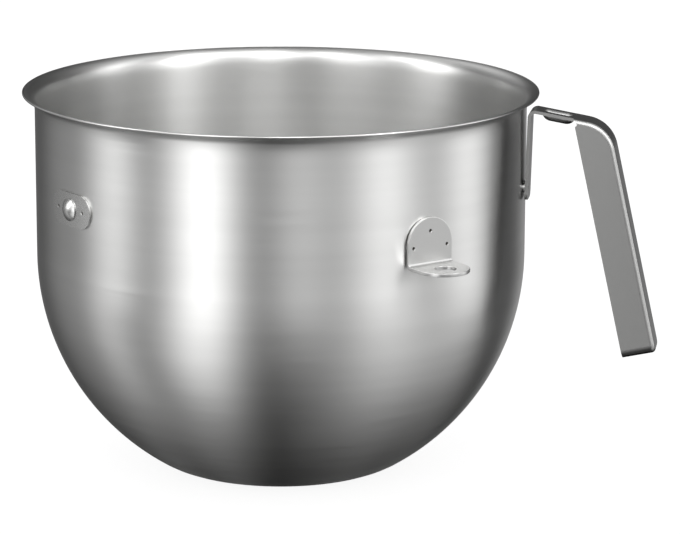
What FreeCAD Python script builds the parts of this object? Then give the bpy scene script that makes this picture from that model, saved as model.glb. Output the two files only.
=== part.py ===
import FreeCAD, Part
import math
import os

import Sketcher

# Bowl of a bowl-lift stand mixer, in millimetres.
# The origin is the middle of the base, on the bowl's axis. +Z is up and +X runs towards the grip.

SIZES = {
    # bowl, spun from one sheet
    "bowl_sheet": 1.0,
    "bowl_height": 186.0,
    "wall_radius": 119.0,
    "flare_lean": 8.0,
    "flare_reach": 0.33,
    "lip_radius": 5.2,
    "brim_flat": 0.52,
    "wall_foot_height": 106.0,
    "base_corner_radius": 8.0,
    "punt_radius": 22.0,
    "punt_slope_reach": 10.0,
    "punt_rise": 6.0,
    # gap left under each welded seat
    "seat_clearance": 0.05,
    # handle, pressed from one sheet
    "handle_sheet": 1.5,
    "handle_width": 18.4,
    "handle_reach": 41.4,
    "handle_bend_radius": 17.0,
    "fold_radius": 2.2,
    "grip_length": 112.9,
    "grip_depth": 16.5,
    "grip_lean": 12.55,
    "grip_end_radius": 4.5,
    "strap_drop": 4.8,
    "strap_angle": 9.65,
    "notch_radius": 1.1,
    "tongue_gap": 0.8,
    "tongue_lean": 1.5,
    "tongue_foot_height": 136.3,
    "tongue_bend_radius": 2.0,
    "tongue_corner_radius": 3.0,
    "tongue_weld_rise": 5.7,
    "tongue_weld_spacing": 7.0,
    "bead_length": 13.8,
    "bead_radius": 3.2,
    "bead_reach": 16.3,
    # brackets, bent from plate
    "bracket_sheet": 1.7,
    "bracket_width": 25.0,
    "bracket_rise": 22.0,
    "tab_height": 121.7,
    "tab_reach": 23.7,
    "bracket_bend_radius": 1.2,
    "bracket_hole_radius": 5.0,
    "bracket_hole_reach": 13.4,
    "bracket_upper_weld_rise": 15.6,
    "bracket_lower_weld_rise": 8.3,
    "bracket_weld_spacing": 19.1,
    "left_bracket_azimuth": -45.0,
    "right_bracket_azimuth": 135.0,
    # latch at the back, a curved plate and a button
    "latch_sheet": 1.0,
    "latch_length": 32.6,
    "latch_width": 16.0,
    "latch_height": 140.5,
    "latch_weld_spacing": 21.0,
    "latch_azimuth": -135.0,
    "button_radius": 5.3,
    "button_root_depth": 1.0,
    "button_side": 0.5,
    "button_rise": 2.5,
    # weld marks, dimpled from outside so that they stand out on the inner face
    "weld_mark_radius": 0.9,
    "weld_mark_floor_radius": 0.3,
    "weld_mark_depth": 0.6,
    "weld_nub_radius": 2.2,
}


# how far off a place may be and still be the one that is looked for
MATCH = 0.01


def number(name):
    """The value of one size, for the first position of a sketch's points."""
    return SIZES[name]


def make_sheet(doc):
    """The sheet of driving sizes, one row each, with the size's name as its alias."""
    sheet = doc.addObject("Spreadsheet::Sheet", "Sizes")
    for row, (name, value) in enumerate(SIZES.items(), start=1):
        sheet.set(f"A{row}", name.replace("_", " "))
        sheet.set(f"B{row}", str(value))
        sheet.setAlias(f"B{row}", name)
    doc.recompute()
    return sheet


def new_body(doc, label):
    body = doc.addObject("PartDesign::Body", label)
    body.Label = label
    return body


def new_sketch(body, name, role, offset=None):
    """A sketch on one of the body's own origin planes, moved along its normal by an expression."""
    sketch = body.newObject("Sketcher::SketchObject", name)
    plane = next(f for f in body.Origin.OriginFeatures if f.Role == role)
    sketch.AttachmentSupport = (plane, [""])
    sketch.MapMode = "FlatFace"
    if offset:
        sketch.setExpression("AttachmentOffset.Base.z", offset)
    return sketch


def turn(body, azimuth):
    """Turn a finished body about the bowl's axis, to an azimuth kept in the sheet."""
    body.Placement = FreeCAD.Placement(
        FreeCAD.Vector(0, 0, 0), FreeCAD.Rotation(FreeCAD.Vector(0, 0, 1), number(azimuth))
    )
    body.setExpression("Placement.Rotation.Angle", f"Sizes.{azimuth} * 1 deg")


def point(x, y):
    return FreeCAD.Vector(x, y, 0)


def along(start, angle, distance):
    """The point at a distance from another, at an angle in degrees from +X."""
    turned = math.radians(angle)
    return start[0] + distance * math.cos(turned), start[1] + distance * math.sin(turned)


def add_line(sketch, start, end):
    return sketch.addGeometry(Part.LineSegment(point(*start), point(*end)), False)


def add_arc(sketch, centre, radius, from_angle, to_angle):
    """An arc counter-clockwise from one angle to the other, in degrees."""
    circle = Part.Circle(point(*centre), FreeCAD.Vector(0, 0, 1), radius)
    arc = Part.ArcOfCircle(circle, math.radians(from_angle), math.radians(to_angle))
    return sketch.addGeometry(arc, False)


def add_circle(sketch, centre, radius):
    circle = Part.Circle(point(*centre), FreeCAD.Vector(0, 0, 1), radius)
    return sketch.addGeometry(circle, False)


# the sketcher numbers a piece's points in this order, and the sketch's own axes downwards from -1
POINTS = ["edge", "start", "end", "centre"]
AXES = ["x_axis", "y_axis"]
ORIGIN = ("x_axis", "start")


def numbered(where):
    """What a constraint works on, with points and axes given by name turned into their numbers."""
    for item in where:
        if item in POINTS:
            yield POINTS.index(item)
        elif item in AXES:
            yield -1 - AXES.index(item)
        else:
            yield item


def rule(sketch, kind, *where):
    """A constraint without a size, such as Tangent or Vertical."""
    return sketch.addConstraint(Sketcher.Constraint(kind, *numbered(where)))


def dimension(sketch, name, kind, *where, bound):
    """A constraint with a size, named and bound to the sheet."""
    index = sketch.addConstraint(Sketcher.Constraint(kind, *numbered(where)))
    sketch.renameConstraint(index, name)
    sketch.setExpression(f"Constraints.{name}", bound)


def pad(body, sketch, name, length, both_sides=False, downwards=False):
    feature = body.newObject("PartDesign::Pad", name)
    feature.Profile = sketch
    feature.setExpression("Length", length)
    feature.Midplane = both_sides
    feature.Reversed = downwards
    return feature


def cut_through(body, sketch, name):
    """A pocket through everything on both sides of its sketch."""
    feature = body.newObject("PartDesign::Pocket", name)
    feature.Profile = sketch
    feature.Type = "ThroughAll"
    feature.Midplane = True
    return feature


def same(one, other):
    """Whether two lengths agree, closer than any two edges of the part lie to each other."""
    return math.isclose(one, other, abs_tol=MATCH)


def edges_where(shape, test):
    """Names of the edges whose middle point and direction pass a test."""
    found = []
    for index, edge in enumerate(shape.Edges, start=1):
        middle = edge.valueAt((edge.FirstParameter + edge.LastParameter) / 2)
        if test(edge, middle):
            found.append(f"Edge{index}")
    return found


def fillet(body, base, name, edges, radius):
    feature = body.newObject("PartDesign::Fillet", name)
    feature.Base = (base, edges)
    feature.setExpression("Radius", radius)
    return feature


# Bowl


def bowl_profile(body):
    """Half the bowl's section: its outside from the axis up to the rim, and its inside the same way."""
    sketch = new_sketch(body, "bowl_section", "XZ_Plane")
    gauge = number("bowl_sheet")
    wall = number("wall_radius")
    height = number("bowl_height")
    flare_reach = number("flare_reach")
    lean = number("flare_lean")
    lip = number("lip_radius")
    brim = number("brim_flat")
    foot = number("wall_foot_height")
    corner = number("base_corner_radius")
    punt = number("punt_radius")
    rise = number("punt_rise")
    slope_reach = number("punt_slope_reach")

    # the big arc's centre is on the bowl's axis, and the base corner lies inside that arc
    corner_x = math.sqrt((wall - corner) ** 2 - (foot - corner) ** 2)
    meet = math.degrees(math.atan2(corner - foot, corner_x))
    # the wall opens out a little under the lip, along a line that touches the lip's arc
    flare_end = (wall + flare_reach, height - gauge - lip - lip * math.sin(math.radians(lean)))
    lip_centre = along(flare_end, -lean, lip)
    flare_foot = flare_end[1] - flare_reach / math.tan(math.radians(lean))
    inner_end = along(lip_centre, 180 - lean, lip + gauge)
    inner_foot = inner_end[1] - (inner_end[0] - wall + gauge) / math.tan(math.radians(lean))
    # a slope that stays one sheet thick is moved outwards by this much on its other side
    shift = gauge * math.tan(math.atan2(rise, slope_reach) / 2)

    outside = [
        add_line(sketch, (0, rise), (punt, rise)),
        add_line(sketch, (punt, rise), (punt + slope_reach, 0)),
        add_line(sketch, (punt + slope_reach, 0), (corner_x, 0)),
        add_arc(sketch, (corner_x, corner), corner, 270, 360 + meet),
        add_arc(sketch, (0, foot), wall, meet, 0),
        add_line(sketch, (wall, foot), (wall, flare_foot)),
        add_line(sketch, (wall, flare_foot), flare_end),
        add_arc(sketch, lip_centre, lip, 90, 180 - lean),
        add_line(sketch, (lip_centre[0], height - gauge), (lip_centre[0] + brim, height - gauge)),
    ]
    edge = add_line(
        sketch, (lip_centre[0] + brim, height - gauge), (lip_centre[0] + brim, height)
    )
    inside = [
        add_line(sketch, (0, rise + gauge), (punt + shift, rise + gauge)),
        add_line(sketch, (punt + shift, rise + gauge), (punt + slope_reach + shift, gauge)),
        add_line(sketch, (punt + slope_reach + shift, gauge), (corner_x, gauge)),
        add_arc(sketch, (corner_x, corner), corner - gauge, 270, 360 + meet),
        add_arc(sketch, (0, foot), wall - gauge, meet, 0),
        add_line(sketch, (wall - gauge, foot), (wall - gauge, inner_foot)),
        add_line(sketch, (wall - gauge, inner_foot), inner_end),
        add_arc(sketch, lip_centre, lip + gauge, 90, 180 - lean),
        add_line(sketch, (lip_centre[0], height), (lip_centre[0] + brim, height)),
    ]
    middle = add_line(sketch, (0, rise), (0, rise + gauge))

    # which end of each piece meets the next, going from the axis to the rim
    for top, slope, flat, corner_arc, big_arc, side, flare, lip_arc, lip_flat in (outside, inside):
        rule(sketch, "Coincident", top, "end", slope, "start")
        rule(sketch, "Coincident", slope, "end", flat, "start")
        rule(sketch, "Tangent", flat, "end", corner_arc, "start")
        rule(sketch, "Tangent", corner_arc, "end", big_arc, "start")
        rule(sketch, "Tangent", big_arc, "end", side, "start")
        rule(sketch, "Coincident", side, "end", flare, "start")
        rule(sketch, "Tangent", flare, "end", lip_arc, "end")
        rule(sketch, "Tangent", lip_arc, "start", lip_flat, "start")
        rule(sketch, "Horizontal", top)
        rule(sketch, "Horizontal", flat)
        rule(sketch, "Vertical", side)
        rule(sketch, "Horizontal", lip_flat)
    rule(sketch, "Coincident", outside[-1], "end", edge, "start")
    rule(sketch, "Coincident", inside[-1], "end", edge, "end")
    rule(sketch, "Coincident", outside[0], "start", middle, "start")
    rule(sketch, "Coincident", inside[0], "start", middle, "end")
    rule(sketch, "Vertical", edge)
    rule(sketch, "Vertical", middle)
    rule(sketch, "PointOnObject", outside[0], "start", "y_axis")

    top, slope, flat, corner_arc, big_arc, side, flare, lip_arc, lip_flat = outside
    # the inside is the outside's offset, so each arc shares its centre
    for arc in (corner_arc, big_arc, lip_arc):
        rule(sketch, "Coincident", inside[outside.index(arc)], "centre", arc, "centre")
    for straight in (slope, flare):
        rule(sketch, "Parallel", inside[outside.index(straight)], straight)
    rule(sketch, "PointOnObject", flat, "start", "x_axis")
    rule(sketch, "PointOnObject", big_arc, "centre", "y_axis")
    dimension(sketch, "rise", "DistanceY", *ORIGIN, top, "end", rise, bound="Sizes.punt_rise")
    dimension(sketch, "punt", "DistanceX", *ORIGIN, top, "end", punt, bound="Sizes.punt_radius")
    dimension(
        sketch, "slope_reach", "DistanceX", top, "end", flat, "start", slope_reach,
        bound="Sizes.punt_slope_reach",
    )
    dimension(
        sketch, "shift", "DistanceX", top, "end", inside[0], "end", shift,
        bound="Sizes.bowl_sheet * tan(atan(Sizes.punt_rise / Sizes.punt_slope_reach) / 2)",
    )
    dimension(sketch, "corner", "Radius", corner_arc, corner, bound="Sizes.base_corner_radius")
    dimension(sketch, "foot", "DistanceY", *ORIGIN, side, "start", foot, bound="Sizes.wall_foot_height")
    dimension(sketch, "wall", "DistanceX", *ORIGIN, side, "start", wall, bound="Sizes.wall_radius")
    dimension(
        sketch, "flare_lean", "Angle", flare, math.radians(90 - lean),
        bound="(90 - Sizes.flare_lean) * 1 deg",
    )
    dimension(
        sketch, "flare_reach", "DistanceX", flare, "start", flare, "end", flare_reach,
        bound="Sizes.flare_reach",
    )
    dimension(sketch, "lip", "Radius", lip_arc, lip, bound="Sizes.lip_radius")
    dimension(sketch, "height", "DistanceY", *ORIGIN, edge, "end", height, bound="Sizes.bowl_height")
    dimension(
        sketch, "brim", "DistanceX", lip_flat, "start", lip_flat, "end", brim, bound="Sizes.brim_flat"
    )
    dimension(sketch, "gauge", "DistanceY", edge, "start", edge, "end", gauge, bound="Sizes.bowl_sheet")
    dimension(sketch, "base", "DistanceY", middle, "start", middle, "end", gauge, bound="Sizes.bowl_sheet")
    dimension(
        sketch, "skin", "DistanceX", inside[outside.index(side)], "start", side, "start", gauge,
        bound="Sizes.bowl_sheet",
    )
    return sketch


def make_bowl(doc):
    body = new_body(doc, "bowl")
    spun = body.newObject("PartDesign::Revolution", "spun_bowl")
    sketch = bowl_profile(body)
    spun.Profile = sketch
    spun.ReferenceAxis = (sketch, ["V_Axis"])
    spun.Angle = 360
    return body


# Handle

SLOPE = "Sizes.strap_angle * 1 deg"
LEAN = "Sizes.grip_lean * 1 deg"
STRAP_ROOT = "Sizes.bowl_height - Sizes.strap_drop"
BEND_TANGENT = f"Sizes.handle_bend_radius * tan((90 deg - {SLOPE} - {LEAN}) / 2)"
# where the flat strap ends and the top bend starts
STRAP_END = f"Sizes.wall_radius + Sizes.handle_reach - {BEND_TANGENT} * cos({SLOPE})"
STRAP_WIDTH = "Sizes.handle_width - 2 * Sizes.fold_radius"


def strap_point(reach, below=0.0):
    """A point at some reach from the wall on the strap's top line, or square below it."""
    slope = math.radians(number("strap_angle"))
    x = number("wall_radius") + reach - below * math.sin(slope)
    z = number("bowl_height") - number("strap_drop") - reach * math.tan(slope) - below * math.cos(slope)
    return x, z


def fix_strap_line(sketch, line):
    """Lay a sketch line on the strap's top: its slope, and its height at the bowl's wall."""
    root = sketch.addGeometry(Part.Point(point(*strap_point(0))), True)
    rule(sketch, "PointOnObject", root, "start", line)
    dimension(
        sketch, "root_reach", "DistanceX", *ORIGIN, root, "start", strap_point(0)[0],
        bound="Sizes.wall_radius",
    )
    dimension(
        sketch, "root_height", "DistanceY", *ORIGIN, root, "start", strap_point(0)[1],
        bound=STRAP_ROOT,
    )
    slope = math.radians(number("strap_angle"))
    dimension(sketch, "slope", "Angle", line, -slope, bound=f"-({SLOPE})")


def pan_outline(body):
    """Side view of the grip: the strap's top, the top bend, the back, the closed end and the open side."""
    sketch = new_sketch(body, "grip_side_view", "XZ_Plane")
    slope = number("strap_angle")
    lean = number("grip_lean")
    depth = number("grip_depth")
    radius = number("handle_bend_radius")
    down = lean - 90
    knee = strap_point(number("handle_reach"))
    tangent = radius * math.tan(math.radians((90 - slope - lean) / 2))
    bend_start = along(knee, 180 - slope, tangent)
    bend_end = along(knee, down, tangent)
    centre = along(bend_start, -90 - slope, radius)
    heel = along(knee, down, number("grip_length"))
    toe = along(heel, 180 + lean, depth)
    shoulder = along(knee, 180 - slope, depth / math.cos(math.radians(slope + lean)))

    top = add_line(sketch, shoulder, bend_start)
    bend = add_arc(sketch, centre, radius, lean, 90 - slope)
    back = add_line(sketch, bend_end, heel)
    end = add_line(sketch, heel, toe)
    mouth = add_line(sketch, toe, shoulder)
    corner = sketch.addGeometry(Part.Point(point(*knee)), True)

    rule(sketch, "Tangent", top, "end", bend, "end")
    rule(sketch, "Tangent", bend, "start", back, "start")
    rule(sketch, "Coincident", back, "end", end, "start")
    rule(sketch, "Coincident", end, "end", mouth, "start")
    rule(sketch, "Coincident", mouth, "end", top, "start")
    rule(sketch, "Perpendicular", end, back)
    rule(sketch, "Parallel", mouth, back)
    rule(sketch, "PointOnObject", corner, "start", top)
    rule(sketch, "PointOnObject", corner, "start", back)
    fix_strap_line(sketch, top)
    dimension(sketch, "lean", "Angle", back, math.radians(down), bound=f"{LEAN} - 90 deg")
    dimension(sketch, "bend", "Radius", bend, radius, bound="Sizes.handle_bend_radius")
    dimension(sketch, "depth", "Distance", end, depth, bound="Sizes.grip_depth")
    dimension(
        sketch, "reach", "DistanceX", *ORIGIN, corner, "start", knee[0],
        bound="Sizes.wall_radius + Sizes.handle_reach",
    )
    dimension(
        sketch, "length", "Distance", corner, "start", back, "end", number("grip_length"),
        bound="Sizes.grip_length",
    )
    return sketch, toe


def make_grip(doc, body):
    """The grip is a pressed pan: a block with rounded folds, hollowed from the side that faces the bowl."""
    sketch, toe = pan_outline(body)
    block = pad(body, sketch, "grip_block", "Sizes.handle_width", both_sides=True)
    doc.recompute()
    half = number("handle_width") / 2
    lean = math.radians(number("grip_lean"))
    down = FreeCAD.Vector(math.sin(lean), 0, -math.cos(lean))
    low = FreeCAD.Vector(toe[0], 0, toe[1]).dot(down)

    def at_end_corner(edge, middle):
        return same(abs(middle.y), half) and same(middle.dot(down), low)

    rounded = fillet(
        body, block, "grip_end_rounding", edges_where(block.Shape, at_end_corner), "Sizes.grip_end_radius"
    )
    doc.recompute()
    inner = FreeCAD.Vector(toe[0], 0, toe[1])
    outward = FreeCAD.Vector(math.cos(lean), 0, math.sin(lean))

    def on_back_outline(edge, middle):
        """Edges round the back, top and end, but not those round the open side."""
        at_side = same(abs(middle.y), half)
        at_heel = same((middle - inner).dot(outward), number("grip_depth"))
        runs_along = same(edge.BoundBox.YLength, 0)
        on_mouth = same((middle - inner).dot(outward), 0)
        across_depth = same(middle.dot(down), low) and runs_along
        return (at_heel or at_side and runs_along and not across_depth) and not on_mouth

    folded = fillet(
        body, rounded, "folds", edges_where(rounded.Shape, on_back_outline), "Sizes.fold_radius"
    )
    doc.recompute()
    mouth = next(
        f"Face{index}"
        for index, face in enumerate(folded.Shape.Faces, start=1)
        if same((face.CenterOfMass - inner).dot(outward), 0)
    )
    shell = body.newObject("PartDesign::Thickness", "pressed_grip")
    shell.Base = (folded, [mouth])
    shell.setExpression("Value", "Sizes.handle_sheet")
    shell.Reversed = True
    shell.Mode = 0
    shell.Join = 1
    return shell


def strap_outline(body):
    """Side view of the weld tongue, its bend and the flat strap, one sheet thick."""
    sketch = new_sketch(body, "strap_side_view", "XZ_Plane")
    gauge = number("handle_sheet")
    slope = number("strap_angle")
    bend = number("tongue_bend_radius")
    lean = number("tongue_lean")
    near = number("wall_radius") + number("tongue_gap")
    foot = number("tongue_foot_height")
    half_turn = math.radians((90 - slope - number("grip_lean")) / 2)
    tangent = number("handle_bend_radius") * math.tan(half_turn)
    last = number("handle_reach") - tangent * math.cos(math.radians(slope))
    # the bend's centre lies the same distance from the tongue's wall side and from the strap's top
    reach = bend + gauge
    tip_end = (near, foot)
    tip_start = along(tip_end, -lean, gauge)
    from_tongue = along(tip_end, -lean, reach)
    strap_drop = strap_point(from_tongue[0] - number("wall_radius"), reach)[1] - foot
    turn_angle = math.radians(slope - lean)
    rise = (strap_drop + reach * math.sin(math.radians(lean))) * math.cos(
        math.radians(slope)
    ) / math.cos(turn_angle)
    centre = along(from_tongue, 90 - lean, rise)
    top_start = along(centre, 90 - slope, reach)
    under_start = along(centre, 90 - slope, bend)
    top_end = strap_point(last)
    under_end = along(top_end, -90 - slope, gauge)

    wall_side = add_line(sketch, tip_end, along(centre, 180 - lean, reach))
    outer_bend = add_arc(sketch, centre, reach, 90 - slope, 180 - lean)
    top = add_line(sketch, top_start, top_end)
    end = add_line(sketch, top_end, under_end)
    under = add_line(sketch, under_end, under_start)
    inner_bend = add_arc(sketch, centre, bend, 90 - slope, 180 - lean)
    face = add_line(sketch, along(centre, 180 - lean, bend), tip_start)
    tip = add_line(sketch, tip_start, tip_end)

    rule(sketch, "Tangent", wall_side, "end", outer_bend, "end")
    rule(sketch, "Tangent", outer_bend, "start", top, "start")
    rule(sketch, "Coincident", top, "end", end, "start")
    rule(sketch, "Coincident", end, "end", under, "start")
    rule(sketch, "Tangent", under, "end", inner_bend, "start")
    rule(sketch, "Tangent", inner_bend, "end", face, "start")
    rule(sketch, "Coincident", face, "end", tip, "start")
    rule(sketch, "Coincident", tip, "end", wall_side, "start")
    rule(sketch, "Parallel", face, wall_side)
    rule(sketch, "Perpendicular", tip, wall_side)
    rule(sketch, "Parallel", under, top)
    rule(sketch, "Perpendicular", end, top)
    rule(sketch, "Coincident", inner_bend, "centre", outer_bend, "centre")
    fix_strap_line(sketch, top)
    dimension(sketch, "bend", "Radius", inner_bend, bend, bound="Sizes.tongue_bend_radius")
    dimension(sketch, "gauge", "Distance", tip, gauge, bound="Sizes.handle_sheet")
    dimension(
        sketch, "tongue_lean", "Angle", wall_side, math.radians(90 - lean),
        bound="(90 - Sizes.tongue_lean) * 1 deg",
    )
    dimension(
        sketch, "near", "DistanceX", *ORIGIN, tip, "end", near, bound="Sizes.wall_radius + Sizes.tongue_gap"
    )
    dimension(
        sketch, "foot", "DistanceY", *ORIGIN, tip, "end", foot, bound="Sizes.tongue_foot_height"
    )
    dimension(sketch, "last", "DistanceX", *ORIGIN, top, "end", top_end[0], bound=STRAP_END)
    return sketch


def capsule_outline(body, name, radius, bound):
    """Half a capsule's section, hanging from a line along the strap's top."""
    sketch = new_sketch(body, name, "XZ_Plane")
    slope = number("strap_angle")
    run = number("bead_length") - 2 * number("bead_radius")
    middle = strap_point(number("bead_reach"))
    first = along(middle, 180 - slope, run / 2)
    last = along(middle, -slope, run / 2)
    axis = add_line(sketch, along(first, 180 - slope, radius), along(last, -slope, radius))
    far_end = add_arc(sketch, last, radius, 270 - slope, 360 - slope)
    keel = add_line(sketch, along(last, 270 - slope, radius), along(first, 270 - slope, radius))
    near_end = add_arc(sketch, first, radius, 180 - slope, 270 - slope)
    rule(sketch, "Coincident", axis, "end", far_end, "end")
    rule(sketch, "Tangent", far_end, "start", keel, "start")
    rule(sketch, "Tangent", keel, "end", near_end, "end")
    rule(sketch, "Coincident", near_end, "start", axis, "start")
    rule(sketch, "PointOnObject", far_end, "centre", axis)
    rule(sketch, "PointOnObject", near_end, "centre", axis)
    rule(sketch, "Parallel", keel, axis)
    fix_strap_line(sketch, axis)
    dimension(sketch, "radius", "Radius", far_end, radius, bound=bound)
    dimension(
        sketch, "near", "DistanceX", *ORIGIN, near_end, "centre", first[0],
        bound="Sizes.wall_radius + Sizes.bead_reach"
        f" - (Sizes.bead_length / 2 - Sizes.bead_radius) * cos({SLOPE})",
    )
    dimension(
        sketch, "run", "Distance", near_end, "centre", far_end, "centre", run,
        bound="Sizes.bead_length - 2 * Sizes.bead_radius",
    )
    return sketch, axis


def make_bead(body):
    """The stiffening bead of the strap, pressed down: half a capsule below and a smaller one out of it."""
    inner = number("bead_radius")
    outer = inner + number("handle_sheet")
    for name, kind, radius, bound, angle in (
        ("bead_outside", "PartDesign::Revolution", outer, "Sizes.bead_radius + Sizes.handle_sheet", 180),
        ("bead_inside", "PartDesign::Groove", inner, "Sizes.bead_radius", 360),
    ):
        sketch, axis = capsule_outline(body, f"{name}_section", radius, bound)
        bead = body.newObject(kind, name)
        bead.Profile = sketch
        bead.ReferenceAxis = (sketch, [f"Edge{axis + 1}"])
        bead.Angle = angle
        bead.Midplane = True


def weld_marks(body, name, face_reach, spots):
    """Nubs on the inner face of a welded plate that seat on the wall, and dimples behind them.

    Each spot is its place across and its height, as numbers and as expressions.
    """
    nubs = new_sketch(body, f"{name}_nub_places", "YZ_Plane", "Sizes.wall_radius - Sizes.weld_mark_depth")
    for index, (across, height, across_bound, height_bound) in enumerate(spots):
        circle = add_circle(nubs, (across, height), number("weld_nub_radius"))
        place_circle(nubs, circle, f"spot_{index}", across, across_bound, height, height_bound)
        dimension(
            nubs, f"radius_{index}", "Radius", circle, number("weld_nub_radius"),
            bound="Sizes.weld_nub_radius",
        )
    pad(body, nubs, f"{name}_nubs", f"{face_reach} - Sizes.wall_radius + Sizes.weld_mark_depth")


def place_circle(sketch, circle, name, across, across_bound, height, height_bound):
    """Put a circle's centre at an x and y from the origin, or on the sketch's own upright axis."""
    if across_bound:
        dimension(
            sketch, f"{name}_across", "DistanceX", *ORIGIN, circle, "centre", across, bound=across_bound
        )
    else:
        rule(sketch, "PointOnObject", circle, "centre", "y_axis")
    dimension(
        sketch, f"{name}_height", "DistanceY", *ORIGIN, circle, "centre", height, bound=height_bound
    )


def make_dimples(body, name, face_reach, spots):
    """Weld marks in the outer face of a welded plate, each a shallow cone with a flat floor.

    The cone runs as far again beyond the face, so that it also clears a curved one.
    """
    facing_out = FreeCAD.Rotation(FreeCAD.Vector(0, 1, 0), 90)
    for index, (across, height, across_bound, height_bound) in enumerate(spots):
        dimple = body.newObject("PartDesign::SubtractiveCone", f"{name}_dimple_{index}")
        dimple.setExpression("Radius1", "Sizes.weld_mark_floor_radius")
        dimple.setExpression("Radius2", "2 * Sizes.weld_mark_radius - Sizes.weld_mark_floor_radius")
        dimple.setExpression("Height", "2 * Sizes.weld_mark_depth")
        dimple.Placement = FreeCAD.Placement(FreeCAD.Vector(0, across, height), facing_out)
        dimple.setExpression("Placement.Base.x", f"{face_reach} - Sizes.weld_mark_depth")
        if across_bound:
            dimple.setExpression("Placement.Base.y", across_bound)
        dimple.setExpression("Placement.Base.z", height_bound)


def clear_wall(body, name):
    """Turn the inner side to the bowl's wall, with the clearance of a welded seat."""
    sketch = new_sketch(body, f"{name}_wall_circle", "XY_Plane")
    radius = number("wall_radius") + number("seat_clearance")
    circle = add_circle(sketch, (0, 0), radius)
    rule(sketch, "Coincident", circle, "centre", *ORIGIN)
    dimension(
        sketch, "seat", "Radius", circle, radius, bound="Sizes.wall_radius + Sizes.seat_clearance"
    )
    return cut_through(body, sketch, f"{name}_wall_seat")


def pair_of_spots(spacing, level, level_bound):
    """Two weld spots at one height, half their spacing to each side."""
    half = number(spacing) / 2
    bound = f"Sizes.{spacing} / 2"
    return [(half, level, bound, level_bound), (-half, level, f"-({bound})", level_bound)]


def make_handle(doc):
    body = new_body(doc, "handle")
    make_grip(doc, body)
    doc.recompute()

    strap = pad(body, strap_outline(body), "tongue_and_strap", STRAP_WIDTH, both_sides=True)
    doc.recompute()
    lean = math.radians(number("tongue_lean"))
    tip = number("tongue_foot_height") - number("handle_sheet") * math.sin(lean) / 2
    half = number("handle_width") / 2 - number("fold_radius")

    def at_tongue_corner(edge, middle):
        return same(middle.z, tip) and same(abs(middle.y), half)

    corners = edges_where(strap.Shape, at_tongue_corner)
    fillet(body, strap, "tongue_corners", corners, "Sizes.tongue_corner_radius")
    make_bead(body)

    # relief notches, where the folded sides end just below the strap
    spread = f"cos({SLOPE} + {LEAN})"
    shoulder = f"Sizes.grip_depth / {spread}"
    drop = "(Sizes.handle_sheet + Sizes.notch_radius)"
    slope = math.radians(number("strap_angle"))
    lean = math.radians(number("grip_lean"))
    reach = number("handle_reach") - number("grip_depth") * math.cos(slope) / math.cos(slope + lean)
    below = (number("handle_sheet") + number("notch_radius")) / math.cos(slope + lean)
    corner_x, corner_z = strap_point(reach)
    place = (corner_x + below * math.sin(lean), corner_z - below * math.cos(lean))
    notches = new_sketch(body, "notch_place", "XZ_Plane")
    notch = add_circle(notches, place, number("notch_radius"))
    dimension(notches, "notch", "Radius", notch, number("notch_radius"), bound="Sizes.notch_radius")
    place_circle(
        notches, notch, "notch",
        place[0], f"Sizes.wall_radius + Sizes.handle_reach - {shoulder} * cos({SLOPE})"
        f" + {drop} / {spread} * sin({LEAN})",
        place[1], f"{STRAP_ROOT} - (Sizes.handle_reach - {shoulder} * cos({SLOPE})) * tan({SLOPE})"
        f" - {drop} / {spread} * cos({LEAN})",
    )
    cut_through(body, notches, "relief_notches")

    tilt = "tan(Sizes.tongue_lean * 1 deg)"
    # the nubs run up to where the leaning face stands furthest from the wall over them
    inner_face = (
        "Sizes.wall_radius + Sizes.tongue_gap"
        f" + (Sizes.tongue_weld_rise + Sizes.weld_nub_radius) * {tilt}"
    )
    face = (
        f"Sizes.wall_radius + Sizes.tongue_gap + Sizes.tongue_weld_rise * {tilt}"
        " + Sizes.handle_sheet / cos(Sizes.tongue_lean * 1 deg)"
    )
    spots = pair_of_spots(
        "tongue_weld_spacing", number("tongue_foot_height") + number("tongue_weld_rise"),
        "Sizes.tongue_foot_height + Sizes.tongue_weld_rise",
    )
    weld_marks(body, "tongue", inner_face, spots)
    make_dimples(body, "tongue", face, spots)
    clear_wall(body, "tongue")
    return body


# Brackets

PLATE_FACE = "Sizes.wall_radius + Sizes.seat_clearance + Sizes.bracket_sheet"


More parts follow.
